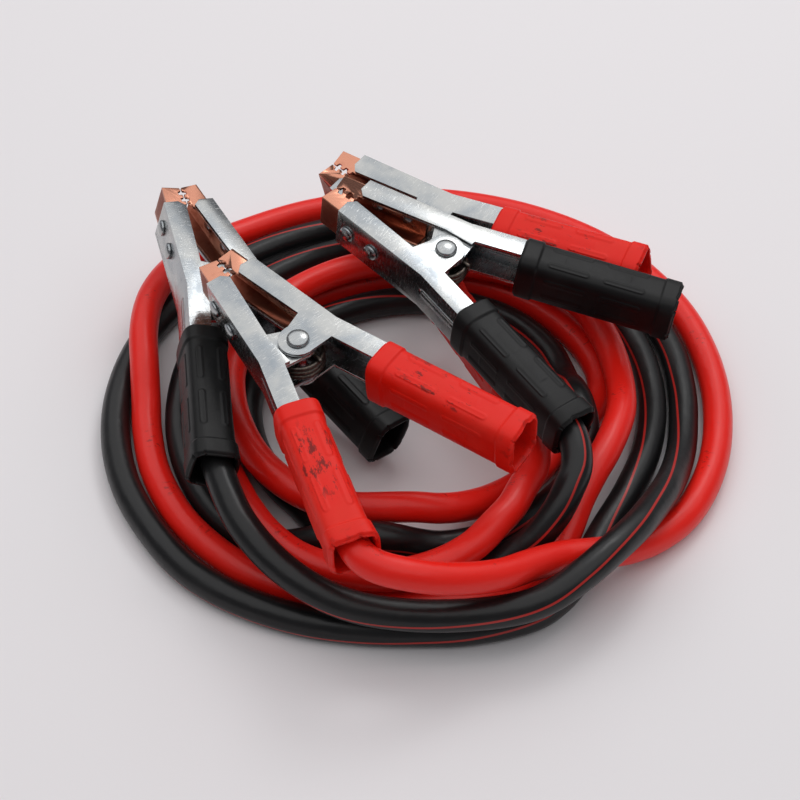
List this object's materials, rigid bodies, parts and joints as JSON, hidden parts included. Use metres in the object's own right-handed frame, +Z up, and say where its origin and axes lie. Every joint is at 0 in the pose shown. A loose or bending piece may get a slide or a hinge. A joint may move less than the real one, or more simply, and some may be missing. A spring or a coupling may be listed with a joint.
{
  "type": "car jumper cable set",
  "caption": "Red and black battery jumper cables coiled together on the floor, with a sprung toothed copper-jaw clamp on each end.",
  "frame": {"origin": "on the floor, under the middle of the set's box", "axes": "+Z up from the floor, +Y from the front of the coil to the rear of it as pictured, +X to the right"},
  "size_m": [0.2835, 0.2951, 0.0825],
  "materials": {
    "red_cable": "soft PVC, slightly glossy",
    "black_cable": "soft PVC, slightly glossy, with a thin red line along it",
    "red_grip": "soft moulded vinyl, satin",
    "black_grip": "soft moulded vinyl, satin",
    "zinc_steel": "bright zinc plating with handling scratches",
    "spring_steel": "dark oiled spring steel",
    "copper": "bright copper plating"
  },
  "bodies": {
    "cables_and_fixed_sides": {"red_cable": "red_cable", "black_cable": "black_cable", "black_rear_cable_lever": "zinc_steel", "black_rear_cable_jaw": "copper", "black_rear_cable_jaw_rivet_1": "zinc_steel", "black_rear_cable_jaw_rivet_2": "zinc_steel", "black_rear_cable_grip": "black_grip", "black_rear_pivot_rivet": "zinc_steel", "black_rear_spring": "spring_steel", "red_front_cable_lever": "zinc_steel", "red_front_cable_jaw": "copper", "red_front_cable_jaw_rivet_1": "zinc_steel", "red_front_cable_jaw_rivet_2": "zinc_steel", "red_front_cable_grip": "red_grip", "red_front_pivot_rivet": "zinc_steel", "red_front_spring": "spring_steel", "black_front_cable_lever": "zinc_steel", "black_front_cable_jaw": "copper", "black_front_cable_jaw_rivet_1": "zinc_steel", "black_front_cable_jaw_rivet_2": "zinc_steel", "black_front_cable_grip": "black_grip", "black_front_pivot_rivet": "zinc_steel", "black_front_spring": "spring_steel", "red_rear_cable_lever": "zinc_steel", "red_rear_cable_jaw": "copper", "red_rear_cable_jaw_rivet_1": "zinc_steel", "red_rear_cable_jaw_rivet_2": "zinc_steel", "red_rear_cable_grip": "red_grip", "red_rear_pivot_rivet": "zinc_steel", "red_rear_spring": "spring_steel"},
    "black_rear_free_side": {"black_rear_free_lever": "zinc_steel", "black_rear_free_jaw": "copper", "black_rear_free_jaw_rivet_1": "zinc_steel", "black_rear_free_jaw_rivet_2": "zinc_steel", "black_rear_free_grip": "black_grip"},
    "red_front_free_side": {"red_front_free_lever": "zinc_steel", "red_front_free_jaw": "copper", "red_front_free_jaw_rivet_1": "zinc_steel", "red_front_free_jaw_rivet_2": "zinc_steel", "red_front_free_grip": "red_grip"},
    "black_front_free_side": {"black_front_free_lever": "zinc_steel", "black_front_free_jaw": "copper", "black_front_free_jaw_rivet_1": "zinc_steel", "black_front_free_jaw_rivet_2": "zinc_steel", "black_front_free_grip": "black_grip"},
    "red_rear_free_side": {"red_rear_free_lever": "zinc_steel", "red_rear_free_jaw": "copper", "red_rear_free_jaw_rivet_1": "zinc_steel", "red_rear_free_jaw_rivet_2": "zinc_steel", "red_rear_free_grip": "red_grip"}
  },
  "joints": [
    {"name": "black_rear_hinge", "type": "hinge", "parent": "cables_and_fixed_sides", "child": "black_rear_free_side", "pos_m": [-0.0876, 0.0284, 0.0447], "axis": [-0.2919, 0.038, -0.9557], "range_deg": [0, 16], "stiffness_Nm_per_rad": 5, "springref_deg": -22.92},
    {"name": "red_front_hinge", "type": "hinge", "parent": "cables_and_fixed_sides", "child": "red_front_free_side", "pos_m": [-0.0496, -0.0362, 0.0682], "axis": [0.033, 0.1061, -0.9938], "range_deg": [0, 28], "stiffness_Nm_per_rad": 5, "springref_deg": -22.92},
    {"name": "black_front_hinge", "type": "hinge", "parent": "cables_and_fixed_sides", "child": "black_front_free_side", "pos_m": [0.0116, 0.0285, 0.0622], "axis": [-0.0906, 0.1285, -0.9876], "range_deg": [0, 28], "stiffness_Nm_per_rad": 5, "springref_deg": -22.92},
    {"name": "red_rear_hinge", "type": "hinge", "parent": "cables_and_fixed_sides", "child": "red_rear_free_side", "pos_m": [0.0048, 0.0738, 0.0412], "axis": [0.1543, 0.2199, -0.9632], "range_deg": [0, 1], "stiffness_Nm_per_rad": 5, "springref_deg": -22.92}
  ]
}
